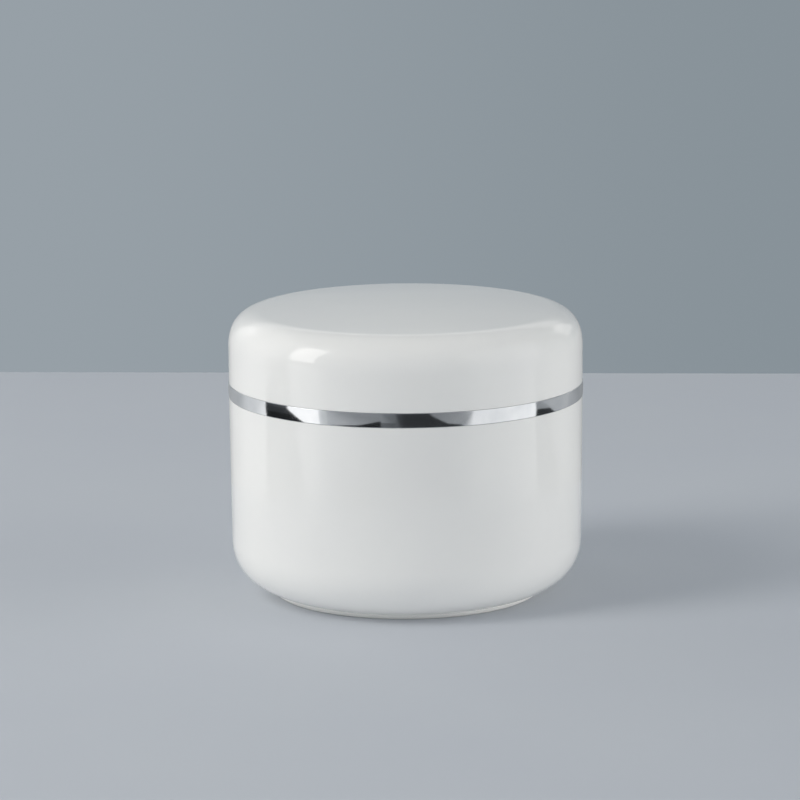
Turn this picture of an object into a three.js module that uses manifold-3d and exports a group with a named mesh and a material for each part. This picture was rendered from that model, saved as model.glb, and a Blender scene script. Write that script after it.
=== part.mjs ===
// A double-walled cosmetic cream jar with a screw cap, a chrome trim ring and a sealing disc.
// Millimetres, +Z up. The origin is on the surface that the jar stands on, at the centre of its foot.

import * as THREE from "three";
import { mergeVertices } from "three/addons/utils/BufferGeometryUtils.js";
import Module from "manifold-3d";

const wasm = await Module();
wasm.setup();

// ---------------------------------------------------------------------------------------------
// Driving dimensions
// ---------------------------------------------------------------------------------------------

const SEGMENTS = 48; // facets around the axis
const REST_GAP = 0.05; // between two flat faces that rest on each other
const FIT_GAP = 0.3; // between two pieces that slide, press or screw together

// Outline of the closed jar
const BODY_TOP_RADIUS = 34.9;
const BODY_LOW_RADIUS = 34.62; // where the side meets the lower corner
const CORNER_START_Z = 10.8; // height at which the lower corner begins
const FOOT_RADIUS = 26.3;
const FOOT_HEIGHT = 0.8;
const BODY_TOP_Z = 39.42; // top edge of the jar, which is also its shoulder
const RING_RADIUS = 35.0;
const RING_BOTTOM_Z = 39.55;
const RING_TOP_Z = 42.25;
const LID_RADIUS = 34.88;
const LID_CORNER_Z = 49.03; // height at which the lid's upper corner begins
const LID_CORNER_WIDTH = 7.41;
const LID_CORNER_HEIGHT = 7.54;
const LID_CORNER_POWER = 2.48; // a circle's corner has power 2, and a squarer one has more
const CROWN_EDGE_DEGREES = 5; // slope of the crowned top where it meets the corner

// Walls
const BASE_UNDERSIDE_Z = 1.0;
const BASE_THICKNESS = 1.8;
const OUTER_WALL = 2.1;
const FOOT_WIDTH = 2.0;
const LID_WALL = 1.55;
const EDGE_ROUND = 0.3; // small radius on moulded edges
const SEAM_ROUND = 0.12; // the tighter radius on the edges beside the trim ring

// Inner cup, and the rebate in the jar's top edge that takes its flange
const CUP_WALL = 1.5;
const CUP_CORNER_RADIUS = 4.5; // inside, between the floor and the wall
const CUP_BASE_GAP = 1.4; // air between the jar's base and the cup
const REBATE_WIDTH = 1.5; // wall left outside the rebate
const REBATE_DEPTH = 1.9;
const CUP_FLANGE_THICKNESS = 1.6;
const SNAP_SKIRT_LENGTH = 3.8;
const SNAP_SKIRT_WALL = 1.1;

// Neck and screw thread
const MOUTH_RADIUS = 28.0;
const NECK_RADIUS = 29.6; // root of the thread on the neck
const NECK_TOP_Z = 51.35;
const THREAD_STARTS = 2;
const THREAD_PITCH = 4.0; // axial distance between neighbouring ridges
const THREAD_LEAD = THREAD_STARTS * THREAD_PITCH; // rise of the cap in one turn
const THREAD_DEPTH = 1.1;
const THREAD_ROOT_WIDTH = 2.1;
const THREAD_CREST_WIDTH = 1.0;

// Sealing disc and its pull ring
const DISC_FLANGE_THICKNESS = 0.9;
const DISC_DEPTH = 5.4; // from the flange's top to the underside of the dish
const DISC_WALL = 0.9;
const PULL_RING_WIDTH = 18;
const PULL_RING_LENGTH = 13;
const PULL_RING_BAR = 2.2;
const PULL_RING_THICKNESS = 1.1;
const PULL_RING_ROUNDNESS = 0.9; // length of its round end, as a share of its half width

// Liner, inner cap and the trim ring that it traps
const LINER_RADIUS = 30.2;
const LINER_THICKNESS = 1.2;
const INSERT_WALL = 1.2;
const INSERT_ROOF = 1.15;
const INSERT_CORNER_RADIUS = 3.55;
const INSERT_FLANGE_RADIUS = 33.45;
const INSERT_FLANGE_THICKNESS = 1.2;
const INSERT_LEAD_IN = 0.5; // chamfers at both ends of its bore
const RING_LEDGE_THICKNESS = 1.1;

// ---------------------------------------------------------------------------------------------
// Heights and radii that follow from them
// ---------------------------------------------------------------------------------------------

const BASE_TOP_Z = BASE_UNDERSIDE_Z + BASE_THICKNESS;
const THREAD_CREST_RADIUS = NECK_RADIUS + THREAD_DEPTH;
const FLANGE_TOP_Z = NECK_TOP_Z + REST_GAP + DISC_FLANGE_THICKNESS;
const DISH_UNDERSIDE_Z = FLANGE_TOP_Z - DISC_DEPTH;
const DISH_FLOOR_Z = DISH_UNDERSIDE_Z + DISC_WALL;
const LINER_BOTTOM_Z = FLANGE_TOP_Z + REST_GAP;
const LINER_TOP_Z = LINER_BOTTOM_Z + LINER_THICKNESS;
const INSERT_BORE_RADIUS = THREAD_CREST_RADIUS + FIT_GAP;
const INSERT_RADIUS = INSERT_BORE_RADIUS + INSERT_WALL;
const INSERT_ROOF_Z = LINER_TOP_Z + REST_GAP;
const INSERT_TOP_Z = INSERT_ROOF_Z + INSERT_ROOF;
const INSERT_BOTTOM_Z = BODY_TOP_Z + FIT_GAP;
const LID_INNER_RADIUS = LID_RADIUS - LID_WALL;
const LID_BOTTOM_Z = RING_TOP_Z + REST_GAP;

// ---------------------------------------------------------------------------------------------
// Outlines, as lists of points (radius, height)
// ---------------------------------------------------------------------------------------------

function point(radius, height) {
  return new THREE.Vector2(radius, height);
}

function arc(centreRadius, centreHeight, radius, fromDegrees, toDegrees, steps) {
  const points = [];
  for (let i = 0; i <= steps; i++) {
    const degrees = fromDegrees + ((toDegrees - fromDegrees) * i) / steps;
    const angle = THREE.MathUtils.degToRad(degrees);
    const radial = centreRadius + radius * Math.cos(angle);
    points.push(point(radial, centreHeight + radius * Math.sin(angle)));
  }
  return points;
}

// The jar's lower corner, from the foot up to the side. offset moves it into the wall.
function lowerCorner(offset, steps) {
  const startSlope = THREE.MathUtils.degToRad(17);
  const startReach = 4.9;
  const endReach = 5.7;
  const start = point(FOOT_RADIUS, FOOT_HEIGHT);
  const leave = point(
    start.x + startReach * Math.cos(startSlope),
    start.y + startReach * Math.sin(startSlope),
  );
  const end = point(BODY_LOW_RADIUS, CORNER_START_Z);
  const arrive = point(end.x, end.y - endReach);
  const curve = new THREE.CubicBezierCurve(start, leave, arrive, end);
  return curve.getPoints(steps).map((p, i) => {
    const tangent = curve.getTangent(i / steps);
    return point(p.x - offset * tangent.y, p.y + offset * tangent.x);
  });
}

// The lid's upper corner and crown, from the side to the axis. offset moves it into the wall.
function lidTop(offset, cornerSteps, crownSteps) {
  const width = LID_CORNER_WIDTH - offset;
  const height = LID_CORNER_HEIGHT - offset;
  const crownSlope = Math.tan(THREE.MathUtils.degToRad(CROWN_EDGE_DEGREES));
  const exponent = 2 / LID_CORNER_POWER;
  const endAngle = Math.atan(Math.pow(height / (width * crownSlope), 1 / (2 - exponent)));
  const points = [];
  for (let i = 0; i <= cornerSteps; i++) {
    const angle = (endAngle * i) / cornerSteps;
    const across = width * (Math.pow(Math.cos(angle), exponent) - 1);
    const up = height * Math.pow(Math.sin(angle), exponent);
    points.push(point(LID_RADIUS - offset + across, LID_CORNER_Z + up));
  }
  const edge = points[cornerSteps];
  for (let i = 1; i <= crownSteps; i++) {
    const radius = edge.x * (1 - i / crownSteps);
    const rise = (crownSlope / 2) * (edge.x - (radius * radius) / edge.x);
    points.push(point(radius, edge.y + rise));
  }
  return points;
}

// ---------------------------------------------------------------------------------------------
// Solids
// ---------------------------------------------------------------------------------------------

// Merges shared vertices and drops the triangles that collapse on the axis.
function weld(geometry) {
  geometry.deleteAttribute("normal");
  geometry.deleteAttribute("uv");
  const welded = mergeVertices(geometry, 1e-4);
  const kept = [];
  const index = welded.index.array;
  for (let i = 0; i < index.length; i += 3) {
    const [a, b, c] = [index[i], index[i + 1], index[i + 2]];
    if (a !== b && b !== c && c !== a) kept.push(a, b, c);
  }
  welded.setIndex(kept);
  return welded;
}

// Turns an outline about +Z. It runs anticlockwise in the (radius, height) plane.
function turned(outline) {
  const geometry = new THREE.LatheGeometry(outline, SEGMENTS);
  geometry.rotateX(Math.PI / 2);
  return weld(geometry);
}

// The same, for an outline that doesn't reach the axis.
function turnedRing(outline) {
  return turned([...outline, outline[0]]);
}

function toManifold(geometry) {
  const vertProperties = new Float32Array(geometry.attributes.position.array);
  const triVerts = new Uint32Array(geometry.index.array);
  return new wasm.Manifold(new wasm.Mesh({ numProp: 3, vertProperties, triVerts }));
}

function joined(first, ...others) {
  let solid = toManifold(first);
  for (const other of others) solid = solid.add(toManifold(other));
  const mesh = solid.getMesh();
  const geometry = new THREE.BufferGeometry();
  geometry.setAttribute("position", new THREE.BufferAttribute(mesh.vertProperties, 3));
  geometry.setIndex(new THREE.BufferAttribute(mesh.triVerts, 1));
  return geometry;
}

// One helical ridge with faded ends. sign is +1 on a neck, where it stands out, and -1 in a bore.
function threadRidge(rootRadius, sign, startDegrees, turns, startHeight) {
  const embed = 0.5; // depth of the ridge's root in the wall
  const stepDegrees = 360 / SEGMENTS;
  const steps = Math.round((turns * 360) / stepDegrees);
  const fadeSteps = 3; // over which an end rises to the full depth
  const endRise = 0.15; // of a step's rise, so that the very end isn't flat on the wall
  const endWidth = 0.4; // width of the very end, as a share of the full width
  const positions = [];
  for (let i = 0; i <= steps; i++) {
    const angle = THREE.MathUtils.degToRad(startDegrees + i * stepDegrees);
    const height = startHeight + (THREAD_LEAD * i * stepDegrees) / 360;
    const fade = Math.min(1, (endRise + Math.min(i, steps - i)) / fadeSteps);
    const widening = endWidth + (1 - endWidth) * fade;
    const root = rootRadius - sign * embed;
    const crest = rootRadius + sign * THREAD_DEPTH * fade;
    const rootHalf = (THREAD_ROOT_WIDTH / 2) * widening;
    const crestHalf = (THREAD_CREST_WIDTH / 2) * widening;
    const flankHalf = rootHalf + ((rootHalf - crestHalf) * embed) / THREAD_DEPTH;
    const section = [
      [root, -flankHalf],
      [crest, -crestHalf],
      [crest, crestHalf],
      [root, flankHalf],
    ];
    for (const [radius, up] of section) {
      positions.push(radius * Math.cos(angle), radius * Math.sin(angle), height + up);
    }
  }
  const index = [];
  const quad = (a, b, c, d) => {
    if (sign > 0) index.push(a, b, c, a, c, d);
    else index.push(a, c, b, a, d, c);
  };
  for (let i = 0; i < steps; i++) {
    for (let side = 0; side < 4; side++) {
      const next = (side + 1) % 4;
      quad(i * 4 + side, (i + 1) * 4 + side, (i + 1) * 4 + next, i * 4 + next);
    }
  }
  quad(0, 1, 2, 3);
  const last = steps * 4;
  quad(last, last + 3, last + 2, last + 1);
  const geometry = new THREE.BufferGeometry();
  geometry.setAttribute("position", new THREE.Float32BufferAttribute(positions, 3));
  geometry.setIndex(index);
  return geometry;
}

function threadRidges(rootRadius, sign, startDegrees, turns, startHeight) {
  const ridges = [];
  for (let start = 0; start < THREAD_STARTS; start++) {
    const degrees = startDegrees + (360 * start) / THREAD_STARTS;
    ridges.push(threadRidge(rootRadius, sign, degrees, turns, startHeight));
  }
  return ridges;
}

// ---------------------------------------------------------------------------------------------
// The thread's place: both halves lie on one helix family, and the cap is screwed tight
// ---------------------------------------------------------------------------------------------

const NECK_THREAD_Z = 42.3; // height of the ridge's centre where it starts
const NECK_THREAD_TURNS = 0.875;
const FLANK_GAP = 0.3;
const MEAN_RIDGE_WIDTH = (THREAD_ROOT_WIDTH + THREAD_CREST_WIDTH) / 2;
const CAP_THREAD_DROP = MEAN_RIDGE_WIDTH + FLANK_GAP; // the cap's ridge bears under the neck's
const CAP_THREAD_START_DEGREES = 30;
const CAP_THREAD_Z =
  NECK_THREAD_Z - CAP_THREAD_DROP + (THREAD_LEAD * CAP_THREAD_START_DEGREES) / 360;
const CAP_THREAD_TURNS = 0.75;

// ---------------------------------------------------------------------------------------------
// Sub-parts
// ---------------------------------------------------------------------------------------------

// Outer wall of the jar: foot ring, recessed base, and a rebate that carries the inner cup.
function outerJar() {
  const footInner = FOOT_RADIUS - FOOT_WIDTH;
  const footChamfer = 0.2;
  const innerTopRadius = BODY_TOP_RADIUS - OUTER_WALL;
  const rebateRadius = BODY_TOP_RADIUS - REBATE_WIDTH;
  const rebateZ = BODY_TOP_Z - REBATE_DEPTH;
  const clearOfFloor = BASE_TOP_Z + 0.4; // the cavity's corner ends just above its floor
  const cavityCorner = lowerCorner(OUTER_WALL, 5).filter((p) => p.y > clearOfFloor);
  return turned([
    point(0, BASE_UNDERSIDE_Z),
    point(footInner, BASE_UNDERSIDE_Z),
    point(footInner, 0),
    point(FOOT_RADIUS - footChamfer, 0),
    point(FOOT_RADIUS, footChamfer),
    ...lowerCorner(0, 8),
    point(BODY_TOP_RADIUS, BODY_TOP_Z - SEAM_ROUND),
    point(BODY_TOP_RADIUS - SEAM_ROUND, BODY_TOP_Z),
    point(rebateRadius, BODY_TOP_Z),
    point(rebateRadius, rebateZ),
    point(innerTopRadius, rebateZ),
    ...cavityCorner.reverse(),
    point(footInner, BASE_TOP_Z),
    point(0, BASE_TOP_Z),
  ]);
}

// Inner cup that holds the cream, with its shoulder flange, snap skirt and threaded neck.
function innerCup() {
  const cupRadius = MOUTH_RADIUS + CUP_WALL;
  const floorUnderside = BASE_TOP_Z + CUP_BASE_GAP;
  const floorTop = floorUnderside + CUP_WALL;
  const outerCorner = CUP_CORNER_RADIUS + CUP_WALL;
  const flangeRadius = BODY_TOP_RADIUS - REBATE_WIDTH - FIT_GAP;
  const flangeUnderside = BODY_TOP_Z - CUP_FLANGE_THICKNESS;
  const skirtRadius = BODY_TOP_RADIUS - OUTER_WALL - FIT_GAP;
  const skirtBottom = flangeUnderside - SNAP_SKIRT_LENGTH;
  const skirtInner = skirtRadius - SNAP_SKIRT_WALL;
  const insideCentre = point(MOUTH_RADIUS - CUP_CORNER_RADIUS, floorTop + CUP_CORNER_RADIUS);
  const cup = turned([
    point(0, floorUnderside),
    ...arc(cupRadius - outerCorner, floorUnderside + outerCorner, outerCorner, -90, 0, 4),
    point(cupRadius, flangeUnderside),
    point(skirtInner, flangeUnderside),
    point(skirtInner, skirtBottom),
    point(skirtRadius, skirtBottom),
    point(skirtRadius, flangeUnderside),
    point(flangeRadius, flangeUnderside),
    point(flangeRadius, BODY_TOP_Z),
    point(NECK_RADIUS, BODY_TOP_Z),
    point(NECK_RADIUS, NECK_TOP_Z - EDGE_ROUND),
    point(NECK_RADIUS - EDGE_ROUND, NECK_TOP_Z),
    point(MOUTH_RADIUS + EDGE_ROUND, NECK_TOP_Z),
    point(MOUTH_RADIUS, NECK_TOP_Z - EDGE_ROUND),
    ...arc(insideCentre.x, insideCentre.y, CUP_CORNER_RADIUS, 0, -90, 4),
    point(0, floorTop),
  ]);
  return joined(cup, ...threadRidges(NECK_RADIUS, 1, 0, NECK_THREAD_TURNS, NECK_THREAD_Z));
}

// Outer shell of the cap: side, rounded corner and slightly crowned top.
function capShell() {
  return turned([
    point(LID_INNER_RADIUS, LID_BOTTOM_Z),
    point(LID_RADIUS - SEAM_ROUND, LID_BOTTOM_Z),
    point(LID_RADIUS, LID_BOTTOM_Z + SEAM_ROUND),
    ...lidTop(0, 8, 3),
    ...lidTop(LID_WALL, 5, 2).reverse(),
    point(LID_INNER_RADIUS, LID_BOTTOM_Z),
  ]);
}

// Bright ring below the shell. Its inner ledge is trapped between the shell and the inner cap.
function trimRing() {
  const ledgeInner = INSERT_RADIUS + FIT_GAP;
  const bandInner = INSERT_FLANGE_RADIUS + FIT_GAP;
  const ledgeUnderside = RING_TOP_Z - RING_LEDGE_THICKNESS;
  return turnedRing([
    point(bandInner, RING_BOTTOM_Z),
    point(RING_RADIUS - SEAM_ROUND, RING_BOTTOM_Z),
    point(RING_RADIUS, RING_BOTTOM_Z + SEAM_ROUND),
    point(RING_RADIUS, RING_TOP_Z - SEAM_ROUND),
    point(RING_RADIUS - SEAM_ROUND, RING_TOP_Z),
    point(ledgeInner, RING_TOP_Z),
    point(ledgeInner, ledgeUnderside),
    point(bandInner, ledgeUnderside),
  ]);
}

// Inner cap with the female thread, closed by a roof that presses the liner down.
function capInsert() {
  const flangeTop = INSERT_BOTTOM_Z + INSERT_FLANGE_THICKNESS;
  const cornerRadius = INSERT_RADIUS - INSERT_CORNER_RADIUS;
  const cornerZ = INSERT_TOP_Z - INSERT_CORNER_RADIUS;
  const body = turned([
    point(0, INSERT_ROOF_Z),
    point(INSERT_BORE_RADIUS - INSERT_LEAD_IN, INSERT_ROOF_Z),
    point(INSERT_BORE_RADIUS, INSERT_ROOF_Z - INSERT_LEAD_IN),
    point(INSERT_BORE_RADIUS, INSERT_BOTTOM_Z + INSERT_LEAD_IN),
    point(INSERT_BORE_RADIUS + INSERT_LEAD_IN, INSERT_BOTTOM_Z),
    point(INSERT_FLANGE_RADIUS, INSERT_BOTTOM_Z),
    point(INSERT_FLANGE_RADIUS, flangeTop),
    point(INSERT_RADIUS, flangeTop),
    ...arc(cornerRadius, cornerZ, INSERT_CORNER_RADIUS, 0, 90, 4),
    point(0, INSERT_TOP_Z),
  ]);
  const ridges = threadRidges(
    INSERT_BORE_RADIUS,
    -1,
    CAP_THREAD_START_DEGREES,
    CAP_THREAD_TURNS,
    CAP_THREAD_Z,
  );
  return joined(body, ...ridges);
}

// Foam wad between the inner cap's roof and the sealing disc.
function capLiner() {
  return turned([
    point(0, LINER_BOTTOM_Z),
    point(LINER_RADIUS, LINER_BOTTOM_Z),
    point(LINER_RADIUS, LINER_TOP_Z),
    point(0, LINER_TOP_Z),
  ]);
}

// ---------------------------------------------------------------------------------------------
// Sealing disc and pull ring: the ring lies in the dish and folds up about its straight bar
// ---------------------------------------------------------------------------------------------

const PULL_RING_BOTTOM_Z = DISH_FLOOR_Z + FIT_GAP;
const PULL_RING_BAR_Y = -6; // front edge of the ring's straight bar
const LUG_HALF_WIDTH = 4.5;
const LUG_DEPTH = 1.6;

// A thin-walled dish that plugs the mouth, with a flange on its rim and a lug for the ring.
function sealingDisc() {
  const plugRadius = MOUTH_RADIUS - FIT_GAP;
  const dishRadius = plugRadius - DISC_WALL;
  const flangeUnderside = FLANGE_TOP_Z - DISC_FLANGE_THICKNESS;
  const floorCorner = 0.6;
  const dish = turned([
    point(0, DISH_UNDERSIDE_Z),
    point(plugRadius - floorCorner, DISH_UNDERSIDE_Z),
    point(plugRadius, DISH_UNDERSIDE_Z + floorCorner),
    point(plugRadius, flangeUnderside),
    point(NECK_RADIUS, flangeUnderside),
    point(NECK_RADIUS, FLANGE_TOP_Z),
    point(dishRadius + EDGE_ROUND, FLANGE_TOP_Z),
    point(dishRadius, FLANGE_TOP_Z - EDGE_ROUND),
    point(dishRadius, DISH_FLOOR_Z + floorCorner),
    point(dishRadius - floorCorner, DISH_FLOOR_Z),
    point(0, DISH_FLOOR_Z),
  ]);
  const embed = 0.4; // depth of the lug's root in the dish's floor
  const lugTop = PULL_RING_BOTTOM_Z + PULL_RING_THICKNESS;
  const lugHeight = lugTop - DISH_FLOOR_Z + embed;
  const lug = new THREE.BoxGeometry(2 * LUG_HALF_WIDTH, LUG_DEPTH, lugHeight);
  const lugY = PULL_RING_BAR_Y - FIT_GAP - LUG_DEPTH / 2;
  lug.translate(0, lugY, lugTop - lugHeight / 2);
  return joined(dish, weld(lug));
}

// A D-shaped outline: a straight bar with square ends below a half ellipse.
function dShape(shape, halfWidth, barY, length) {
  const straight = length - halfWidth * PULL_RING_ROUNDNESS;
  shape.moveTo(-halfWidth, barY);
  shape.lineTo(halfWidth, barY);
  shape.lineTo(halfWidth, barY + straight);
  shape.absellipse(0, barY + straight, halfWidth, length - straight, 0, Math.PI, false, 0);
  shape.closePath();
  return shape;
}

function pullRing() {
  const outer = dShape(new THREE.Shape(), PULL_RING_WIDTH / 2, PULL_RING_BAR_Y, PULL_RING_LENGTH);
  const hole = dShape(
    new THREE.Path(),
    PULL_RING_WIDTH / 2 - PULL_RING_BAR,
    PULL_RING_BAR_Y + PULL_RING_BAR,
    PULL_RING_LENGTH - 2 * PULL_RING_BAR,
  );
  outer.holes.push(hole);
  const geometry = new THREE.ExtrudeGeometry(outer, {
    depth: PULL_RING_THICKNESS,
    bevelEnabled: false,
    curveSegments: 10,
  });
  geometry.translate(0, 0, PULL_RING_BOTTOM_Z);
  return weld(geometry);
}

// ---------------------------------------------------------------------------------------------
// Assembly
// ---------------------------------------------------------------------------------------------

const glossWhite = { color: 0xeceded, roughness: 0.22, metalness: 0 };
const innerWhite = { color: 0xe6e8e9, roughness: 0.35, metalness: 0 };
const chrome = { color: 0xd8dadc, roughness: 0.06, metalness: 1 };
const foam = { color: 0xf0f1f1, roughness: 0.9, metalness: 0 };
const softPlastic = { color: 0xe2e6e8, roughness: 0.5, metalness: 0 };

function mesh(name, geometry, finish) {
  const made = new THREE.Mesh(geometry, new THREE.MeshStandardMaterial(finish));
  made.name = name;
  return made;
}

const jar = new THREE.Group();
jar.add(mesh("outer_jar", outerJar(), glossWhite));
jar.add(mesh("inner_cup", innerCup(), innerWhite));

const disc = new THREE.Group();
disc.add(mesh("sealing_disc", sealingDisc(), softPlastic));
disc.add(mesh("disc_pull_ring", pullRing(), softPlastic));

const cap = new THREE.Group();
cap.add(mesh("cap_shell", capShell(), glossWhite));
cap.add(mesh("trim_ring", trimRing(), chrome));
cap.add(mesh("cap_insert", capInsert(), innerWhite));
cap.add(mesh("cap_liner", capLiner(), foam));

const creamJar = new THREE.Group();
creamJar.add(jar, disc, cap);

export default creamJar;
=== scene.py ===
"""Looks for the cosmetic cream jar: smooth moulded shells, a mirror trim ring, and a soft studio.

Outlines are in millimetres, as (radius, height) in the frame's own axes. Meshes are made in metres.
"""

from math import atan, cos, degrees, pi, radians, sin, tan

import bmesh
import bpy
import numpy as np
from mathutils import Euler, Matrix, Vector
from mathutils.geometry import tessellate_polygon

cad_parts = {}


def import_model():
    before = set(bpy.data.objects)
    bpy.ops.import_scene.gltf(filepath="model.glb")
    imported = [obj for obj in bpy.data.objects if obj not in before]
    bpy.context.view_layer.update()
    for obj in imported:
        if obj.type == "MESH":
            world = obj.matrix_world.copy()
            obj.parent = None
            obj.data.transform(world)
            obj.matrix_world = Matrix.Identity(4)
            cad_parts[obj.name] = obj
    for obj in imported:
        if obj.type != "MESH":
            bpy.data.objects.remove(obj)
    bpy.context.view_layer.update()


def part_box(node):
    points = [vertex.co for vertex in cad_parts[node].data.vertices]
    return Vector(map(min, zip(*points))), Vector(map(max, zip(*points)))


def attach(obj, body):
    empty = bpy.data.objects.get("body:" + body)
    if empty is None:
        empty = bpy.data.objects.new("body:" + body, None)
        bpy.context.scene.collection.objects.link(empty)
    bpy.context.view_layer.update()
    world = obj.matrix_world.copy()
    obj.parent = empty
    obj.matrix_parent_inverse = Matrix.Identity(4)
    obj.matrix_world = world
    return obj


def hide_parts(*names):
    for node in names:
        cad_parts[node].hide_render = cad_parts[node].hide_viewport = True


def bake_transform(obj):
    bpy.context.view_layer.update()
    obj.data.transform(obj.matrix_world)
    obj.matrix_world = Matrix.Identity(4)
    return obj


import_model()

MM = 0.001
SEGMENTS = 192  # facets around the axis


# ---------------------------------------------------------------------------------------------
# Dimensions, in millimetres: the outer ones come from the frame
# ---------------------------------------------------------------------------------------------


def box_mm(node):
    """The largest radius, lowest height and highest height of a CAD node."""
    low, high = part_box(node)
    return high.x / MM, low.z / MM, high.z / MM


RING_RADIUS, RING_BOTTOM, RING_TOP = box_mm("trim_ring")
LID_RADIUS, LID_BOTTOM, _ = box_mm("cap_shell")
BODY_RADIUS, _, BODY_TOP = box_mm("outer_jar")
CUP_FLANGE_RADIUS, CUP_BOTTOM, NECK_TOP = box_mm("inner_cup")
INSERT_FLANGE_RADIUS, INSERT_BOTTOM, INSERT_TOP = box_mm("cap_insert")
LINER_RADIUS, LINER_BOTTOM, LINER_TOP = box_mm("cap_liner")
NECK_RADIUS, DISC_BOTTOM, DISC_TOP = box_mm("sealing_disc")
PULL_HALF_WIDTH, PULL_BOTTOM, PULL_TOP = box_mm("disc_pull_ring")
PULL_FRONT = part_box("disc_pull_ring")[0].y / MM
PULL_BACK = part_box("disc_pull_ring")[1].y / MM

# Lower corner of the body and its foot
BODY_LOW_RADIUS = 34.62
CORNER_START = 10.8  # height where the side begins
CORNER_SLOPE = 17  # degrees, where the corner leaves the foot
CORNER_LOW_PULL = 4.9  # lengths of the corner curve's two handles
CORNER_HIGH_PULL = 5.7
FOOT_RADIUS = 26.3
FOOT_HEIGHT = 0.8
FOOT_WIDTH = 2.0
BASE_UNDERSIDE = 1.0
BASE_TOP = 2.8
OUTER_WALL = 2.1
REBATE_WIDTH = 1.5  # the step in the rim that holds the cup's flange
REBATE_DEPTH = 1.9

# Upper corner of the lid
LID_CORNER_START = 49.03
LID_CORNER_WIDTH = 7.41
LID_CORNER_HEIGHT = 7.54
LID_CORNER_POWER = 2.48  # an ellipse has 2, and a squarer corner has more
CROWN_EDGE_SLOPE = tan(radians(5))  # where the corner meets the crown
LID_WALL = 1.55

# Cup, neck and thread
MOUTH_RADIUS = 28.0
CUP_WALL = 1.5
CUP_FLANGE = 1.6
SKIRT_DEPTH = 3.8
SKIRT_WALL = 1.1
FIT_GAP = 0.3
THREAD_STARTS = 2
THREAD_LEAD = 8.0
THREAD_DEPTH = 1.1
THREAD_ROOT_WIDTH = 2.1
THREAD_CREST_WIDTH = 1.0
NECK_THREAD_BOTTOM = 42.3
NECK_THREAD_TURNS = 0.875
CAP_THREAD_DROP = 1.85
CAP_THREAD_START = 30
CAP_THREAD_TURNS = 0.75

# Inner cap, sealing disc and trim ring
INSERT_BORE = NECK_RADIUS + THREAD_DEPTH + FIT_GAP
INSERT_WALL = 1.2
INSERT_ROOF = 1.15
INSERT_FLANGE = 1.2
INSERT_CORNER = 3.55
DISC_FLANGE = 0.9
DISC_WALL = 0.9
BAND_INNER = 33.75
LEDGE = 1.1
SEAM_ROUND = 0.06  # tight edges beside the trim ring
SEAM_GAP = 0.05

# Pull ring, its lug and the web between them
PULL_BAR = 2.2
PULL_ROUNDNESS = 0.9
LUG_HALF_WIDTH = 4.5
LUG_DEPTH = 1.6
HINGE_WIDTH = 8.4
HINGE_THICKNESS = 0.22


# ---------------------------------------------------------------------------------------------
# Outlines
# ---------------------------------------------------------------------------------------------


def rounded(corners, steps=7):
    """A chain of (radius, height, fillet) corners as points, each corner rounded by its fillet."""
    points = []
    count = len(corners)
    for i, (r, z, fillet) in enumerate(corners):
        here = Vector((r, z))
        if fillet == 0 or i == 0 or i == count - 1:
            points.append(here)
            continue
        back = (Vector(corners[i - 1][:2]) - here).normalized()
        on = (Vector(corners[i + 1][:2]) - here).normalized()
        half = back.angle(on) / 2
        centre = here + (back + on).normalized() * (fillet / sin(half))
        first = here + back * (fillet / tan(half)) - centre
        last = here + on * (fillet / tan(half)) - centre
        turn = first.angle(last)
        for k in range(steps + 1):
            share = k / steps
            a = sin((1 - share) * turn) / sin(turn)
            b = sin(share * turn) / sin(turn)
            points.append(centre + first * a + last * b)
    return points


def arc(centre_r, centre_z, radius, start, end, steps):
    """Points on an arc, from start to end in degrees."""
    angles = [radians(start + (end - start) * k / steps) for k in range(steps + 1)]
    return [Vector((centre_r + radius * cos(a), centre_z + radius * sin(a))) for a in angles]


def line(start, end, steps):
    """Evenly spaced points on a straight stretch, without its ends."""
    a, b = Vector(start), Vector(end)
    return [a.lerp(b, k / steps) for k in range(1, steps)]


def lower_corner(steps, offset=0.0):
    """The body's lower corner as a Bezier curve, from the foot up to the side."""
    slope = radians(CORNER_SLOPE)
    start = Vector((FOOT_RADIUS, FOOT_HEIGHT))
    leave = start + CORNER_LOW_PULL * Vector((cos(slope), sin(slope)))
    end = Vector((BODY_LOW_RADIUS, CORNER_START))
    arrive = end - Vector((0, CORNER_HIGH_PULL))
    points = []
    for k in range(steps + 1):
        t = k / steps
        u = 1 - t
        at = u**3 * start + 3 * u * u * t * leave + 3 * u * t * t * arrive + t**3 * end
        along = u * u * (leave - start) + 2 * u * t * (arrive - leave) + t * t * (end - arrive)
        inward = Vector((-along.y, along.x)).normalized()
        points.append(at + offset * inward)
    return points


def lid_top(corner_steps, crown_steps, offset=0.0):
    """The lid's squarish corner and crown, from the side to the axis."""
    width = LID_CORNER_WIDTH - offset
    height = LID_CORNER_HEIGHT - offset
    power = 2 / LID_CORNER_POWER
    end = atan((height / (width * CROWN_EDGE_SLOPE)) ** (1 / (2 - power)))
    points = []
    for k in range(corner_steps + 1):
        angle = end * (k / corner_steps) ** 1.3  # evens out the points near the side
        across = width * (cos(angle) ** power - 1)
        rise = height * sin(angle) ** power
        points.append(Vector((LID_RADIUS - offset + across, LID_CORNER_START + rise)))
    edge = points[-1].copy()
    for k in range(1, crown_steps + 1):
        r = edge.x * (1 - k / crown_steps)
        points.append(Vector((r, edge.y + CROWN_EDGE_SLOPE / 2 * (edge.x - r * r / edge.x))))
    return points


# ---------------------------------------------------------------------------------------------
# Meshes
# ---------------------------------------------------------------------------------------------


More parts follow.
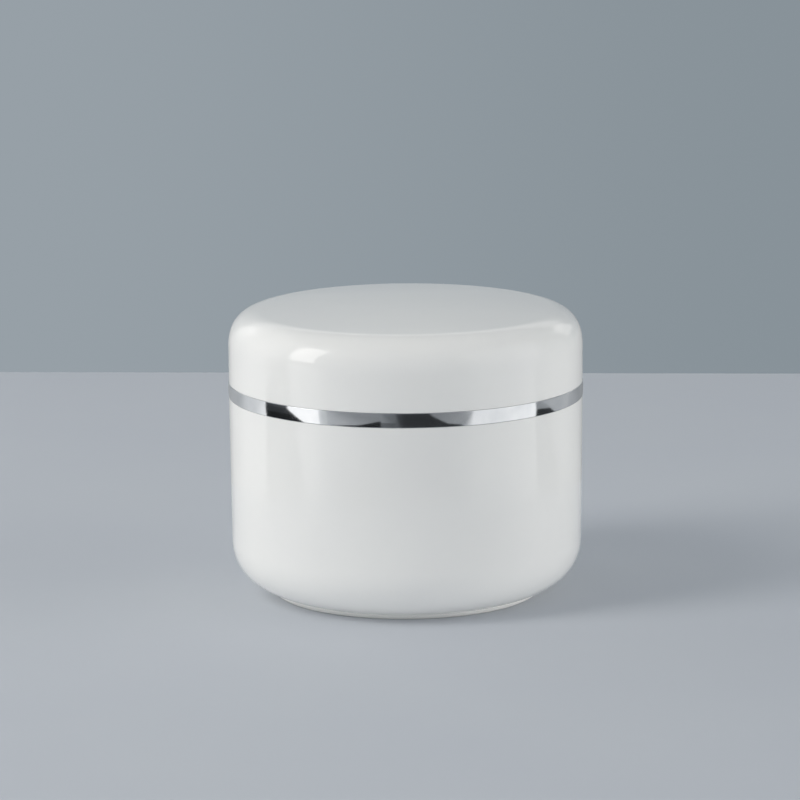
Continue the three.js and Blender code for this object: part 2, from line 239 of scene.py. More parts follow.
def smooth_mesh(name, vertices, faces, material):
    """A smooth mesh object with area-weighted normals, from vertices in millimetres."""
    co = np.array(vertices, float) * MM
    mesh = bpy.data.meshes.new(name)
    mesh.from_pydata(co.tolist(), [], faces)
    mesh.update()
    mesh.shade_smooth()
    normals = np.zeros_like(co)
    areas = np.array([p.area for p in mesh.polygons])
    directions = np.array([p.normal[:] for p in mesh.polygons]) * areas[:, None]
    for face, direction in zip(faces, directions):
        for vertex in face:
            normals[vertex] += direction
    lengths = np.linalg.norm(normals, axis=1)
    normals /= np.maximum(lengths, 1e-30)[:, None]
    mesh.normals_split_custom_set_from_vertices(normals.tolist())
    made = bpy.data.objects.new(name, mesh)
    bpy.context.scene.collection.objects.link(made)
    mesh.materials.append(material)
    return made


def piece(name, shape, body, node, material):
    """A rigid piece, from its vertices and faces. It rides on a body and replaces a CAD node."""
    made = smooth_mesh(name, *shape, material)
    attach(made, body)
    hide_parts(node)


def revolved(outline, relief=None, closed=False):
    """Vertices and faces of an outline turned about +Z. It runs anticlockwise in (r, z).

    The relief is added to the radius, and is a function of (angle, radius, height).
    """
    rows = len(outline)
    angles = [2 * pi * k / SEGMENTS for k in range(SEGMENTS)]
    vertices = []
    starts = []
    for point in outline:
        starts.append(len(vertices))
        if point.x < 1e-6:
            vertices.append((0.0, 0.0, point.y))
            continue
        for a in angles:
            r = point.x + (relief(a, point.x, point.y) if relief else 0.0)
            vertices.append((r * cos(a), r * sin(a), point.y))
    faces = []
    for i in range(rows if closed else rows - 1):
        low, high = starts[i], starts[(i + 1) % rows]
        low_pole = outline[i].x < 1e-6
        high_pole = outline[(i + 1) % rows].x < 1e-6
        if low_pole and high_pole:
            continue
        for k in range(SEGMENTS):
            n = (k + 1) % SEGMENTS
            if low_pole:
                faces.append((low, high + n, high + k))
            elif high_pole:
                faces.append((low + k, low + n, high))
            else:
                faces.append((low + k, low + n, high + n, high + k))
    return vertices, faces


def swept(path, section):
    """Vertices and faces of a closed section carried round a closed level path.

    The section lies in (outward, up) coordinates.
    """
    up = Vector((0, 0, 1))
    count = len(path)
    vertices = []
    for i, here in enumerate(path):
        along = (path[(i + 1) % count] - path[i - 1]).normalized()
        outward = along.cross(up)
        for across, height in section:
            vertices.append((here + outward * across + up * height)[:])
    side = len(section)
    faces = []
    for i in range(count):
        here, there = i * side, (i + 1) % count * side
        for k in range(side):
            n = (k + 1) % side
            faces.append((here + k, there + k, there + n, here + n))
    return vertices, faces


def rounded_block(low, high, radius, steps=4):
    """Vertices and faces of a block between two corners, with all its edges rounded."""
    low, high = Vector(low), Vector(high)
    made = bmesh.new()
    bmesh.ops.create_cube(made, size=1)
    for v in made.verts:
        share = v.co + Vector((0.5, 0.5, 0.5))
        v.co = Vector(a + (b - a) * s for a, b, s in zip(low, high, share))
    bmesh.ops.bevel(made, geom=made.edges[:], offset=radius, segments=steps, profile=0.5,
                    affect="EDGES", clamp_overlap=True)
    made.verts.ensure_lookup_table()
    vertices = [v.co[:] for v in made.verts]
    faces = [tuple(v.index for v in f.verts) for f in made.faces]
    made.free()
    return vertices, faces


def smooth_step(x):
    """0 up to x = 0, 1 from x = 1, and a smooth rise between."""
    x = min(1.0, max(0.0, x))
    return x * x * (3 - 2 * x)


def thread(wall_radius, sign, start_degrees, turns, bottom):
    """How far the thread's ridges stand out of a wall, as a function for revolved().

    The sign is 1 for ridges that stand outwards and -1 for ridges that stand inwards.
    """
    root_half = THREAD_ROOT_WIDTH / 2
    crest_half = THREAD_CREST_WIDTH / 2
    fade = 20  # degrees over which a ridge's end rises from the wall

    def relief(angle, radius, height):
        if abs(radius - wall_radius) > 1e-3:
            return 0.0
        best = 0.0
        for start in range(THREAD_STARTS):
            first = start_degrees + 360 * start / THREAD_STARTS
            along = (degrees(angle) - first) % 360
            if along > turns * 360:
                continue
            centre = bottom + THREAD_LEAD * along / 360
            flank = (root_half - abs(height - centre)) / (root_half - crest_half)
            ends = min(along, turns * 360 - along) / fade
            best = max(best, THREAD_DEPTH * smooth_step(flank) * smooth_step(ends))
        return sign * best

    return relief


# ---------------------------------------------------------------------------------------------
# Materials
# ---------------------------------------------------------------------------------------------


def linear(colour):
    """An sRGB colour, 0 to 255, as the renderer's linear values."""
    parts = [c / 255 for c in colour]
    return [c / 12.92 if c <= 0.04045 else ((c + 0.055) / 1.055) ** 2.4 for c in parts]


class Nodes:
    """A short way to write a material's nodes."""

    def __init__(self, name):
        self.material = bpy.data.materials.new(name)
        self.material.use_nodes = True
        self.tree = self.material.node_tree
        self.shader = self.tree.nodes["Principled BSDF"]
        self.place = self.node("ShaderNodeTexCoord").outputs["Object"]

    def node(self, kind, **settings):
        made = self.tree.nodes.new(kind)
        for key, value in settings.items():
            setattr(made, key, value)
        return made

    def link(self, output, socket):
        self.tree.links.new(output, socket)

    def noise(self, size_mm, detail=2.0, roughness=0.5, stretch=(1, 1, 1)):
        """Noise whose features are about size_mm across, from 0 to 1."""
        mapping = self.node("ShaderNodeMapping")
        mapping.inputs["Scale"].default_value = stretch
        self.link(self.place, mapping.inputs["Vector"])
        made = self.node("ShaderNodeTexNoise")
        made.inputs["Scale"].default_value = 1 / (size_mm * MM)
        made.inputs["Detail"].default_value = detail
        made.inputs["Roughness"].default_value = roughness
        self.link(mapping.outputs["Vector"], made.inputs["Vector"])
        return made.outputs["Fac"]

    def range(self, value, low, high, start=0.3, end=0.7):
        """value from start..end, brought to low..high."""
        made = self.node("ShaderNodeMapRange")
        made.inputs["From Min"].default_value = start
        made.inputs["From Max"].default_value = end
        made.inputs["To Min"].default_value = low
        made.inputs["To Max"].default_value = high
        self.link(value, made.inputs["Value"])
        return made.outputs["Result"]

    def mix(self, factor, first, second):
        made = self.node("ShaderNodeMix", data_type="RGBA")
        made.inputs["A"].default_value = (*first, 1)
        made.inputs["B"].default_value = (*second, 1)
        self.link(factor, made.inputs["Factor"])
        return made.outputs["Result"]

    def bump(self, height, distance_mm, strength=1.0, onto=None):
        made = self.node("ShaderNodeBump")
        made.inputs["Strength"].default_value = strength
        made.inputs["Distance"].default_value = distance_mm * MM
        self.link(height, made.inputs["Height"])
        if onto is not None:
            self.link(onto, made.inputs["Normal"])
        return made.outputs["Normal"]

    def set(self, **values):
        for key, value in values.items():
            self.shader.inputs[key.replace("_", " ")].default_value = value


def moulded(name, light, shade, roughness, waviness):
    """Moulded polypropylene: a faint tint change, slow waves, fine grain and a soft gloss.

    The sheen stands in for light that scatters just under the surface.
    """
    m = Nodes(name)
    tint = m.range(m.noise(22, 3), 0, 1)
    m.link(m.mix(tint, linear(light), linear(shade)), m.shader.inputs["Base Color"])
    handled = m.noise(9, 4, 0.6)
    m.link(m.range(handled, *roughness), m.shader.inputs["Roughness"])
    wave = m.bump(m.noise(7, 1), waviness)
    grain = m.bump(m.noise(0.35, 2), 0.004, 1.0, wave)
    m.link(grain, m.shader.inputs["Normal"])
    m.set(IOR=1.49, Sheen_Weight=0.2, Sheen_Roughness=0.2)
    return m.material


def plated(name):
    """Bright plating on a moulded ring: nearly a mirror, with faint waves and hairline scuffs."""
    m = Nodes(name)
    haze = m.range(m.noise(5, 3), 0, 1)
    tones = m.mix(haze, linear((240, 242, 244)), linear((230, 233, 236)))
    m.link(tones, m.shader.inputs["Base Color"])
    scuffs = m.noise(1.2, 4, 0.7, stretch=(1, 1, 8))
    m.link(m.range(scuffs, 0.05, 0.11), m.shader.inputs["Roughness"])
    m.link(m.bump(m.noise(9, 1), 0.02), m.shader.inputs["Normal"])
    m.set(Metallic=1.0)
    return m.material


def foamed(name):
    """Closed-cell foam: small cells with a matt skin."""
    m = Nodes(name)
    cells = m.node("ShaderNodeTexVoronoi")
    cells.inputs["Scale"].default_value = 1 / (0.55 * MM)
    m.link(m.place, cells.inputs["Vector"])
    shading = m.range(cells.outputs["Distance"], 0, 1, 0.1, 0.7)
    m.link(m.mix(shading, linear((243, 244, 244)), linear((226, 229, 231))),
           m.shader.inputs["Base Color"])
    m.link(m.range(m.noise(3, 3), 0.75, 0.92), m.shader.inputs["Roughness"])
    m.link(m.bump(cells.outputs["Distance"], 0.12), m.shader.inputs["Normal"])
    return m.material


def milky(name):
    """Soft low-density polyethylene: milky, with light scattered under a waxy surface."""
    m = Nodes(name)
    cloud = m.range(m.noise(6, 3), 0, 1)
    m.link(m.mix(cloud, linear((236, 238, 239)), linear((226, 230, 232))),
           m.shader.inputs["Base Color"])
    m.link(m.range(m.noise(4, 4), 0.34, 0.46), m.shader.inputs["Roughness"])
    m.link(m.bump(m.noise(0.5, 3), 0.012), m.shader.inputs["Normal"])
    m.set(Subsurface_Weight=0.25, Subsurface_Scale=0.0015)
    return m.material


GLOSS_WHITE = moulded("gloss_white_pp", (246, 245, 241), (243, 242, 239), (0.05, 0.09), 0.008)
INNER_WHITE = moulded("inner_white_pp", (242, 243, 241), (236, 238, 237), (0.3, 0.4), 0.02)
CHROME = plated("mirror_plating")
FOAM = foamed("liner_foam")
MILKY = milky("milky_pe")


# ---------------------------------------------------------------------------------------------
# Pieces
# ---------------------------------------------------------------------------------------------


def outer_jar():
    """Outer shell: foot ring, recessed base with a gate mark and a groove, and the cup's rebate."""
    foot_inner = FOOT_RADIUS - FOOT_WIDTH
    rebate = BODY_RADIUS - REBATE_WIDTH
    rebate_z = BODY_TOP - REBATE_DEPTH
    inner_top = BODY_RADIUS - OUTER_WALL
    gate_radius = 0.8
    gate_z = BASE_UNDERSIDE - 0.45
    groove_inner = 8.6
    groove_outer = 9.5
    groove = 0.2  # its depth, and the width of its sloping sides
    underside = rounded([
        (0, gate_z, 0),
        (gate_radius, gate_z, 0.2),
        (gate_radius + 0.3, BASE_UNDERSIDE, 0.15),
        (groove_inner, BASE_UNDERSIDE, 0.2),
        (groove_inner + groove, BASE_UNDERSIDE + groove, 0.1),
        (groove_outer - groove, BASE_UNDERSIDE + groove, 0.1),
        (groove_outer, BASE_UNDERSIDE, 0.2),
        (foot_inner, BASE_UNDERSIDE, 0.3),
        (foot_inner, 0, 0.3),
        (FOOT_RADIUS, 0, 0.25),
        (FOOT_RADIUS, FOOT_HEIGHT - 0.01, 0),
    ])
    side = rounded([
        (BODY_LOW_RADIUS, CORNER_START + 0.01, 0),
        (BODY_RADIUS, BODY_TOP, SEAM_ROUND),
        (rebate, BODY_TOP, 0.2),
        (rebate, rebate_z, 0.15),
        (inner_top, rebate_z, 0.2),
        (BODY_LOW_RADIUS - OUTER_WALL, CORNER_START, 0),
    ])
    cavity = [p for p in lower_corner(24, OUTER_WALL) if p.y > BASE_TOP + 0.2]
    inside = [*reversed(cavity), Vector((foot_inner, BASE_TOP)), Vector((0, BASE_TOP))]
    outline = [*underside, *lower_corner(40), *side, *inside[1:]]
    piece("outer_jar_shell", revolved(outline), "jar", "outer_jar", GLOSS_WHITE)


def inner_cup():
    """Inner cup with its shoulder flange, snap skirt and threaded neck."""
    cup_radius = MOUTH_RADIUS + CUP_WALL
    flange_z = BODY_TOP - CUP_FLANGE
    skirt = BODY_RADIUS - OUTER_WALL - FIT_GAP
    skirt_inner = skirt - SKIRT_WALL
    skirt_z = flange_z - SKIRT_DEPTH
    wall_low = BODY_TOP + 1.0
    wall_top = NECK_TOP - 0.6
    inside_z = CUP_BOTTOM + CUP_WALL
    outside = rounded([
        (0, CUP_BOTTOM, 0),
        (cup_radius, CUP_BOTTOM, 6.0),
        (cup_radius, flange_z, 0.3),
        (skirt_inner, flange_z, 0.2),
        (skirt_inner, skirt_z, 0.2),
        (skirt, skirt_z, 0.3),
        (skirt, flange_z, 0.1),
        (CUP_FLANGE_RADIUS, flange_z, 0.2),
        (CUP_FLANGE_RADIUS, BODY_TOP, 0.3),
        (NECK_RADIUS, BODY_TOP, 0.4),
        (NECK_RADIUS, wall_low, 0),
    ], 10)
    neck = line((NECK_RADIUS, wall_low), (NECK_RADIUS, wall_top), 96)
    inside = rounded([
        (NECK_RADIUS, wall_top, 0),
        (NECK_RADIUS, NECK_TOP, 0.35),
        (MOUTH_RADIUS, NECK_TOP, 0.35),
        (MOUTH_RADIUS, inside_z, 4.5),
        (0, inside_z, 0),
    ], 12)
    ridges = thread(NECK_RADIUS, 1, 0, NECK_THREAD_TURNS, NECK_THREAD_BOTTOM)
    piece("inner_cup_threaded", revolved([*outside, *neck, *inside], ridges),
          "jar", "inner_cup", INNER_WHITE)


def cap_shell():
    """Outer shell of the cap."""
    inner = LID_RADIUS - LID_WALL
    edge = rounded([
        (inner, LID_CORNER_START, 0),
        (inner, LID_BOTTOM, 0.25),
        (LID_RADIUS, LID_BOTTOM, SEAM_ROUND),
        (LID_RADIUS, LID_CORNER_START - 0.01, 0),
    ])
    under = list(reversed(lid_top(20, 6, LID_WALL)))[:-1]
    outline = [*under, *edge, *lid_top(56, 24)]
    piece("cap_outer_shell", revolved(outline), "cap", "cap_shell", GLOSS_WHITE)


def trim_ring():
    """Plated ring with a slightly barrelled band, and the ledge that holds it in the cap."""
    ledge = INSERT_BORE + INSERT_WALL + FIT_GAP
    ledge_z = RING_TOP - LEDGE
    bottom = BODY_TOP + SEAM_GAP
    top = LID_BOTTOM - SEAM_GAP / 2
    middle = (bottom + top) / 2
    half = (top - bottom) / 2
    barrel = 0.05  # how far the band's edges fall back from its middle
    reach = 0.8  # share of the band's half height that has points along its barrel
    band_end = RING_RADIUS - barrel * reach**2
    steps = 16
    band = []
    for k in range(1, steps):
        share = reach * (2 * k / steps - 1)
        band.append(Vector((RING_RADIUS - barrel * share**2, middle + half * share)))
    low = rounded([
        (BAND_INNER, ledge_z, 0),
        (BAND_INNER, bottom, 0.2),
        (RING_RADIUS - barrel, bottom, SEAM_ROUND),
        (band_end, middle - half * reach, 0),
    ])
    high = rounded([
        (band_end, middle + half * reach, 0),
        (RING_RADIUS - barrel, top, SEAM_ROUND),
        (BAND_INNER, top, 0.05),
        (BAND_INNER, RING_TOP, 0),
        (ledge, RING_TOP, 0.15),
        (ledge, ledge_z, 0.15),
        (BAND_INNER, ledge_z, 0),
    ])
    piece("chrome_trim_ring", revolved([*low, *band, *high[:-1]], closed=True),
          "cap", "trim_ring", CHROME)


def cap_insert():
    """Inner cap with the female thread and a flange round its mouth."""
    roof_z = INSERT_TOP - INSERT_ROOF
    radius = INSERT_BORE + INSERT_WALL
    flange_top = INSERT_BOTTOM + INSERT_FLANGE
    wall_low = INSERT_BOTTOM + 0.6
    wall_top = roof_z - 1.0
    under = rounded([
        (0, roof_z, 0),
        (INSERT_BORE, roof_z, 0.5),
        (INSERT_BORE, wall_top, 0),
    ], 8)
    bore = line((INSERT_BORE, wall_top), (INSERT_BORE, wall_low), 110)
    outside = rounded([
        (INSERT_BORE, wall_low, 0),
        (INSERT_BORE + 0.5, INSERT_BOTTOM, 0.15),
        (INSERT_FLANGE_RADIUS, INSERT_BOTTOM, 0.2),
        (INSERT_FLANGE_RADIUS, flange_top, 0.2),
        (radius, flange_top, 0.3),
        (radius, INSERT_TOP, INSERT_CORNER),
        (0, INSERT_TOP, 0),
    ], 10)
    bottom = NECK_THREAD_BOTTOM - CAP_THREAD_DROP + THREAD_LEAD * CAP_THREAD_START / 360
    ridges = thread(INSERT_BORE, -1, CAP_THREAD_START, CAP_THREAD_TURNS, bottom)
    piece("cap_inner_insert", revolved([*under, *bore, *outside], ridges),
          "cap", "cap_insert", INNER_WHITE)


def cap_liner():
    """Foam wad, pressed a little where the disc's flange bears on it."""
    pressed = 0.03
    seat_inner = 27.0
    seat_outer = 29.4
    outline = rounded([
        (0, LINER_BOTTOM, 0),
        (seat_inner - 0.4, LINER_BOTTOM, 0.3),
        (seat_inner, LINER_BOTTOM + pressed, 0.3),
        (seat_outer, LINER_BOTTOM + pressed, 0.2),
        (LINER_RADIUS, LINER_BOTTOM + 0.15, 0.3),
        (LINER_RADIUS, LINER_TOP, 0.25),
        (0, LINER_TOP, 0),
    ])
    piece("cap_foam_liner", revolved(outline), "liner", "cap_liner", FOAM)


def sealing_disc():
    """Dish-shaped inner lid with a flange, and a round step down in its floor."""
    plug = MOUTH_RADIUS - FIT_GAP
    dish = plug - DISC_WALL
    flange_z = DISC_TOP - DISC_FLANGE
    dish_z = DISC_BOTTOM + DISC_WALL
    step_radius = 16.2
    step_z = dish_z - 0.18
    outline = rounded([
        (0, DISC_BOTTOM, 0),
        (plug, DISC_BOTTOM, 0.6),
        (plug, flange_z, 0.1),
        (NECK_RADIUS, flange_z, 0.2),
        (NECK_RADIUS, DISC_TOP, 0.25),
        (dish, DISC_TOP, 0.35),
        (dish, dish_z, 0.6),
        (step_radius, dish_z, 0.2),
        (step_radius - 0.3, step_z, 0.2),
        (0, step_z, 0),
    ], 8)
    piece("sealing_disc_dish", revolved(outline), "disc", "sealing_disc", MILKY)


def hinge_lug():
    """Block on the disc's floor that carries the pull ring's hinge."""
    root = 0.3  # of the lug, sunk into the disc's floor
    edge_round = 0.3
    back = PULL_FRONT - FIT_GAP
    dish_z = DISC_BOTTOM + DISC_WALL
    low = (-LUG_HALF_WIDTH, back - LUG_DEPTH, dish_z - root)
    high = (LUG_HALF_WIDTH, back, PULL_TOP)
    piece("disc_hinge_lug", rounded_block(low, high, edge_round), "disc", "sealing_disc",
          MILKY)


def pull_ring():
    """D-shaped loop with a rounded bar: straight along the hinge, and round at its far end."""
    half_bar = PULL_BAR / 2
    half_width = PULL_HALF_WIDTH - half_bar
    corner = 1.7
    front = PULL_FRONT + half_bar
    side_y = front + corner
    end_length = PULL_HALF_WIDTH * PULL_ROUNDNESS - half_bar
    end_y = PULL_BACK - half_bar - end_length
    end_steps = 63
    far_end = []
    for k in range(end_steps + 1):
        a = pi * k / end_steps
        far_end.append(Vector((half_width * cos(a), end_y + end_length * sin(a))))
    loop = [
        *arc(corner - half_width, side_y, corner, 180, 270, 8),
        *line((corner - half_width, front), (half_width - corner, front), 24),
        *arc(half_width - corner, side_y, corner, 270, 360, 8),
        *line((half_width, side_y), (half_width, end_y), 10),
        *far_end,
        *line((-half_width, end_y), (-half_width, side_y), 10),
    ]
    middle = (PULL_BOTTOM + PULL_TOP) / 2
    path = [Vector((*point, middle)) for point in loop]
    height = (PULL_TOP - PULL_BOTTOM) / 2
    edge_round = 0.4
    section = rounded([
        (0, -height, 0),
        (half_bar, -height, edge_round),
        (half_bar, height, edge_round),
        (-half_bar, height, edge_round),
        (-half_bar, -height, edge_round),
        (0, -height, 0),
    ], 5)[1:]
    piece("pull_ring_loop", swept(path, section), "pull_ring", "disc_pull_ring",
          MILKY)


def living_hinge():
    """Thin web between the lug and the ring's bar, as one fixed mesh. The real web bends as the
    ring folds up.
    """
    reach = 0.25  # of the web into the lug and the bar
    cover = 0.05  # of plastic over the web where it enters them
    waist = 0.35  # share of its thickness that the web loses at its middle
    back = PULL_FRONT - FIT_GAP
    level = PULL_TOP - HINGE_THICKNESS / 2 - cover
    rows = 13
    columns = 9
    vertices = []
    for side in (1, -1):
        for i in range(rows):
            y = back - reach + (FIT_GAP + 2 * reach) * i / (rows - 1)
            half = (1 - waist * sin(pi * i / (rows - 1))) * HINGE_THICKNESS / 2
            for k in range(columns):
                x = HINGE_WIDTH * (k / (columns - 1) - 0.5)
                vertices.append((x, y, level + side * half))
    layer = rows * columns
    faces = []
    for i in range(rows - 1):
        for k in range(columns - 1):
            a = i * columns + k
            top = (a, a + 1, a + columns + 1, a + columns)
            faces.append(top)
            faces.append(tuple(layer + v for v in reversed(top)))
    rim = list(range(columns))
    rim += [i * columns + columns - 1 for i in range(1, rows)]
    rim += [(rows - 1) * columns + k for k in range(columns - 2, -1, -1)]
    rim += [i * columns for i in range(rows - 2, 0, -1)]
    for a, b in zip(rim, rim[1:] + rim[:1]):
        faces.append((b, a, layer + a, layer + b))
    web = smooth_mesh("pull_ring_hinge_web", vertices, faces, MILKY)
    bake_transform(web)


outer_jar()
inner_cup()
cap_shell()
trim_ring()
cap_insert()
cap_liner()
sealing_disc()
hinge_lug()
pull_ring()
living_hinge()


# ---------------------------------------------------------------------------------------------
# Studio
# ---------------------------------------------------------------------------------------------


WALL_LEFT = linear((151, 160, 167))  # the room's tone behind the jar, on either side of the view
WALL_RIGHT = linear((136, 146, 153))
ROOM = linear((161, 166, 171))  # the room's tone elsewhere
WARM = (1.0, 0.975, 0.945)  # the softboxes' tone beside the room's blue
COOL = (0.965, 0.985, 1.0)  # the table's tone


def floor():
    """A pale table top whose far edge meets the wall tone behind the jar."""
    reach = 6.0
    far_edge = 0.2288
    turn = radians(-2.6)  # the far edge is not quite square to the view
    corners = [(-reach, -reach, 0), (reach, -reach, 0), (reach, far_edge, 0), (-reach, far_edge, 0)]
    mesh = bpy.data.meshes.new("floor")
    mesh.from_pydata(corners, [], [(0, 1, 2, 3)])
    made = bpy.data.objects.new("floor", mesh)
    made.rotation_euler = Euler((0, 0, turn))
    bpy.context.scene.collection.objects.link(made)
    m = Nodes("pale_table")
    tone = m.range(m.noise(60, 3), 0, 1)
    m.link(m.mix(tone, linear((201, 205, 210)), linear((199, 203, 209))),
           m.shader.inputs["Base Color"])
    m.set(Roughness=1.0, Specular_IOR_Level=0.0)
    mesh.materials.append(m.material)


def world():
    """The room's tone all round, a little brighter on the left of the wall than on its right."""
    made = bpy.data.worlds.new("studio")
    made.use_nodes = True
    bpy.context.scene.world = made
    tree = made.node_tree
    place = tree.nodes.new("ShaderNodeTexCoord")
    split = tree.nodes.new("ShaderNodeSeparateXYZ")
    tree.links.new(place.outputs["Generated"], split.inputs[0])
    tones = {}
    for name, axis, low, high, first, second in (
        ("wall", "X", -0.10, 0.10, WALL_LEFT, WALL_RIGHT),
        ("depth", "Y", 0.0, 0.9, ROOM, None),
    ):
        share = tree.nodes.new("ShaderNodeMapRange")
        share.interpolation_type = "SMOOTHSTEP"
        share.inputs["From Min"].default_value = low
        share.inputs["From Max"].default_value = high
        tree.links.new(split.outputs[axis], share.inputs["Value"])
        mix = tree.nodes.new("ShaderNodeMix")
        mix.data_type = "RGBA"
        tree.links.new(share.outputs["Result"], mix.inputs["Factor"])
        mix.inputs["A"].default_value = (*first, 1)
        if second:
            mix.inputs["B"].default_value = (*second, 1)
        else:
            tree.links.new(tones["wall"], mix.inputs["B"])
        tones[name] = mix.outputs["Result"]
    background = tree.nodes["Background"]
    tree.links.new(tones["depth"], background.inputs["Color"])


def area_light(name, azimuth, elevation, distance, width, height, radiance, tone=WARM,
               seen=True, lights=True):
    """A softbox that looks at the jar. Azimuth 0 is the camera's side, and positive is right.

    It makes highlights if it is seen, and brightens plain surfaces if it lights.
    """
    data = bpy.data.lights.new(name, "AREA")
    data.shape = "RECTANGLE"
    data.size = width
    data.size_y = height
    data.energy = radiance * pi * width * height
    data.color = tone
    made = bpy.data.objects.new(name, data)
    a, e = radians(azimuth), radians(elevation)
    toward = Vector((sin(a) * cos(e), -cos(a) * cos(e), sin(e)))
    aim = Vector((0, 0, 0.03))
    made.location = aim + toward * distance
    made.rotation_euler = toward.to_track_quat("Z", "Y").to_euler()
    made.visible_camera = False
    made.visible_glossy = seen
    made.visible_diffuse = lights
    bpy.context.scene.collection.objects.link(made)
    return made


def bounce_sheet(size, radiance):
    """Cool light from the table up onto the jar's underside, as from a card laid under it."""
    lift = 0.0004  # above the table and its cards
    made = area_light("bounce_sheet", 0, 90, 0, size, size, radiance, COOL, seen=False)
    made.location = (0, 0, lift)
    made.rotation_euler = (pi, 0, 0)


def on_table(azimuth, elevation):
    """Where on the table the trim ring's reflection looks, in this direction from the ring.

    The line of sight starts on the ring, half-way round to the azimuth that it looks towards.
    """
    height = (RING_BOTTOM + RING_TOP) / 2 * MM
    lift = 0.0002  # above the table
    a = radians(azimuth)
    start = RING_RADIUS * MM * Vector((sin(a / 2), -cos(a / 2), 0))
    along = Vector((sin(a), -cos(a), 0))
    return start + along * height / tan(radians(-elevation)) + Vector((0, 0, lift))


def cool_grey(tone):
    """The room's blue-grey in the middle tones, and neutral towards black and white."""
    tint = 12 * tone / 255 * (1 - tone / 255)
    return tone - tint, tone, tone + tint


def card(name, tones, outline):
    """A sheet that glows, from one tone at its first azimuth to another at its last.

    Its outline is what the trim ring shows of it, as the (azimuth, elevation) of each corner.
    """
    spots = []
    for i, (azimuth, elevation) in enumerate(outline):
        next_azimuth, next_elevation = outline[(i + 1) % len(outline)]
        steps = max(1, int(abs(next_azimuth - azimuth) / 2))
        for k in range(steps):
            share = k / steps
            spots.append((azimuth + (next_azimuth - azimuth) * share,
                          elevation + (next_elevation - elevation) * share))
    corners = [on_table(*spot) for spot in spots]
    triangles = tessellate_polygon([corners])
    mesh = bpy.data.meshes.new(name)
    mesh.from_pydata([p[:] for p in corners], [], [tuple(t) for t in triangles])
    first = min(azimuth for azimuth, _ in spots)
    last = max(azimuth for azimuth, _ in spots)
    share = mesh.attributes.new("share", "FLOAT", "POINT")
    share.data.foreach_set("value", [(azimuth - first) / (last - first) for azimuth, _ in spots])
    made = bpy.data.objects.new(name, mesh)
    bpy.context.scene.collection.objects.link(made)
    m = Nodes(name)
    glow = m.node("ShaderNodeEmission")
    along = m.node("ShaderNodeAttribute", attribute_name="share")
    low, high = (linear(cool_grey(tone)) for tone in tones)
    m.link(m.mix(along.outputs["Fac"], low, high), glow.inputs["Color"])
    m.link(glow.outputs[0], m.tree.nodes["Material Output"].inputs["Surface"])
    mesh.materials.append(m.material)
    for ray in ("camera", "diffuse", "transmission", "volume_scatter", "shadow"):
        setattr(made, f"visible_{ray}", False)


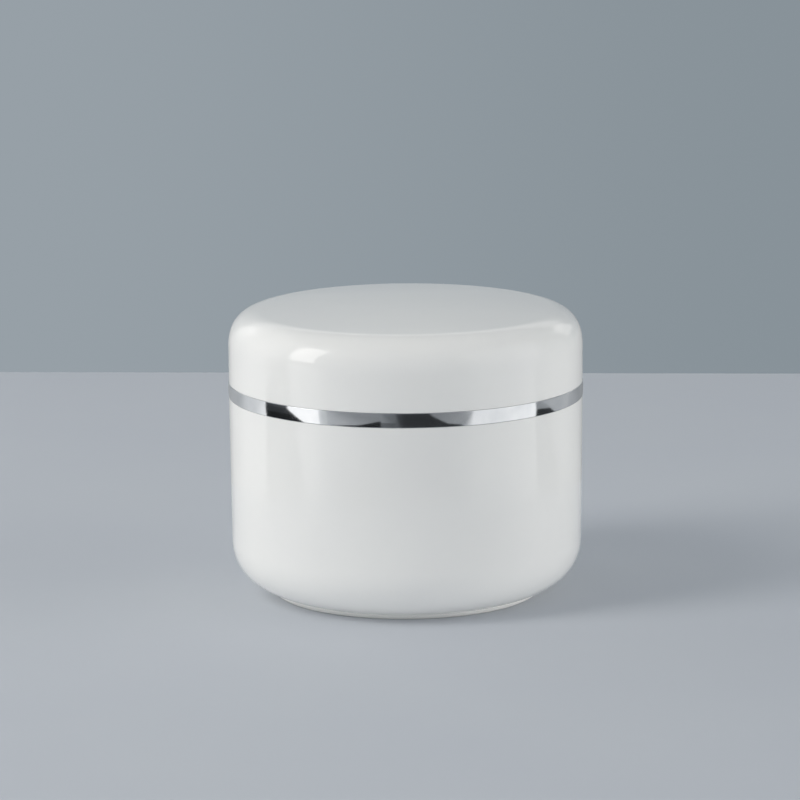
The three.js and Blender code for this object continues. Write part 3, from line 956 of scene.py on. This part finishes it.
def table_cards():
    """Bright and dark cards that lie on the table, out of view. They show only as reflections."""
    far = -1.5  # elevations of the cards' outer and inner edges
    near = -22
    card("card_left_rear", (166, 178), [(-178, far), (-150, far), (-150, near), (-178, near)])
    card("card_left_fade", (178, 212), [(-150, far), (-125, far), (-125, near), (-150, near)])
    card("card_left_pale", (214, 246), [(-125, far), (-101.5, far), (-104, near), (-125, near)])
    card("card_left_haze", (70, 78), [(-101.5, far), (-82.3, far), (-82, -7.5), (-102.2, -7.5)])
    card("card_left_dark", (50, 58), [(-102.2, -7.5), (-82, -7.5), (-77, -12), (-102.8, -12)])
    card("card_left_deep", (30, 38), [(-102.8, -12), (-77, -12), (-75.5, -13.5), (-67, near),
                                      (-104, near)])
    card("card_left_white", (266, 268), [(-82.3, far), (-57.6, far), (-57.6, near), (-67, near),
                                         (-75.5, -13.5), (-77, -12), (-82, -7.5)])
    card("card_left_soft", (225, 200), [(-57.6, far), (-52, far), (-52, near), (-57.6, near)])
    card("card_front_left", (187, 132), [(-52, far), (-16, far), (-16, -12), (-31, -18),
                                         (-52, -20)])
    card("card_low_dark", (30, 38), [(-52, -20), (-31, -18), (-16, -12), (-16, near), (-52, near)])
    card("card_front_grey", (138, 106), [(-16, far), (-6.5, far), (-6.5, -14), (-16, -14)])
    card("card_front_shade", (102, 86), [(-16, -14), (-6.5, -14), (-6.5, near), (-16, near)])
    card("card_front_edge", (100, 58), [(-6.5, far), (-1.5, far), (-1.5, near), (-6.5, near)])
    card("card_front_dark", (52, 48), [(-1.5, far), (14, far), (16, -6), (19, -9), (27, -16),
                                       (36, -18), (42, near), (-1.5, near)])
    card("card_front_right", (128, 152), [(14, far), (38, far), (38, -18.3), (36, -18), (27, -16),
                                          (19, -9), (16, -6)])
    card("card_right_edge", (150, 236), [(38, far), (44, far), (44, near), (42, near), (38, -18.3)])
    card("card_right_white", (234, 256), [(44, far), (91, far), (94.8, near), (44, near)])
    card("card_right_low", (40, 60), [(93.2, -11.2), (107, -12.5), (118, -19), (118, near),
                                      (94.8, near)])
    card("card_right_mid", (138, 180), [(91, far), (130, far), (130, near), (118, near),
                                        (118, -19), (107, -12.5), (93.2, -11.2)])
    card("card_right_rear", (175, 148), [(130, far), (178, far), (178, near), (130, near)])


def camera():
    """The camera, as fitted to the jar's proportions: long lens, slightly above the jar."""
    distance = 0.850
    elevation = radians(11.12)
    target = Vector((0, 0, 38.06 * MM))
    pan = radians(0.0795)
    roll = radians(-0.39)
    data = bpy.data.cameras.new("camera")
    data.sensor_width = 36
    data.lens = 193.6
    data.clip_start = 0.05
    data.clip_end = 20
    made = bpy.data.objects.new("camera", data)
    back = Vector((0, -cos(elevation), sin(elevation)))
    made.location = target + back * distance
    turn = Matrix.Rotation(pan, 3, "Z") @ back.to_track_quat("Z", "Y").to_matrix()
    made.rotation_euler = (turn @ Matrix.Rotation(roll, 3, "Z")).to_euler()
    bpy.context.scene.collection.objects.link(made)
    bpy.context.scene.camera = made


floor()
world()
table_cards()
area_light("key_left", -70, 24, 1.0, 0.35, 0.67, 3.6, lights=False)
area_light("key_left_haze", -65, 24, 1.0, 0.3, 0.67, 2.3, seen=False)
area_light("key_left_low_haze", -66, 8, 1.0, 0.6, 0.2, 1.3, seen=False)
area_light("key_left_high_haze", -65, 40, 1.0, 0.4, 0.6, 3.6, seen=False)
area_light("panel_left", -118, 25, 1.1, 1.3, 0.95, 0.38)
area_light("panel_left_haze", -122, 14, 1.1, 1.0, 0.4, 0.85, seen=False)
area_light("panel_left_rear", -142, 19, 1.1, 0.3, 0.35, 0.3, lights=False)
area_light("panel_right", 70, 20, 1.1, 1.12, 0.8, 0.87)
area_light("panel_right_haze", 92, 7, 1.1, 1.1, 0.28, 2.9, seen=False)
area_light("panel_right_rear", 142, 19, 1.1, 0.35, 0.35, 0.55, lights=False)
area_light("panel_back", 180, 30, 1.2, 2.4, 0.27, 0.42, lights=False)
bounce_sheet(0.6, 0.15)
camera()
bpy.context.scene.view_settings.view_transform = "Standard"
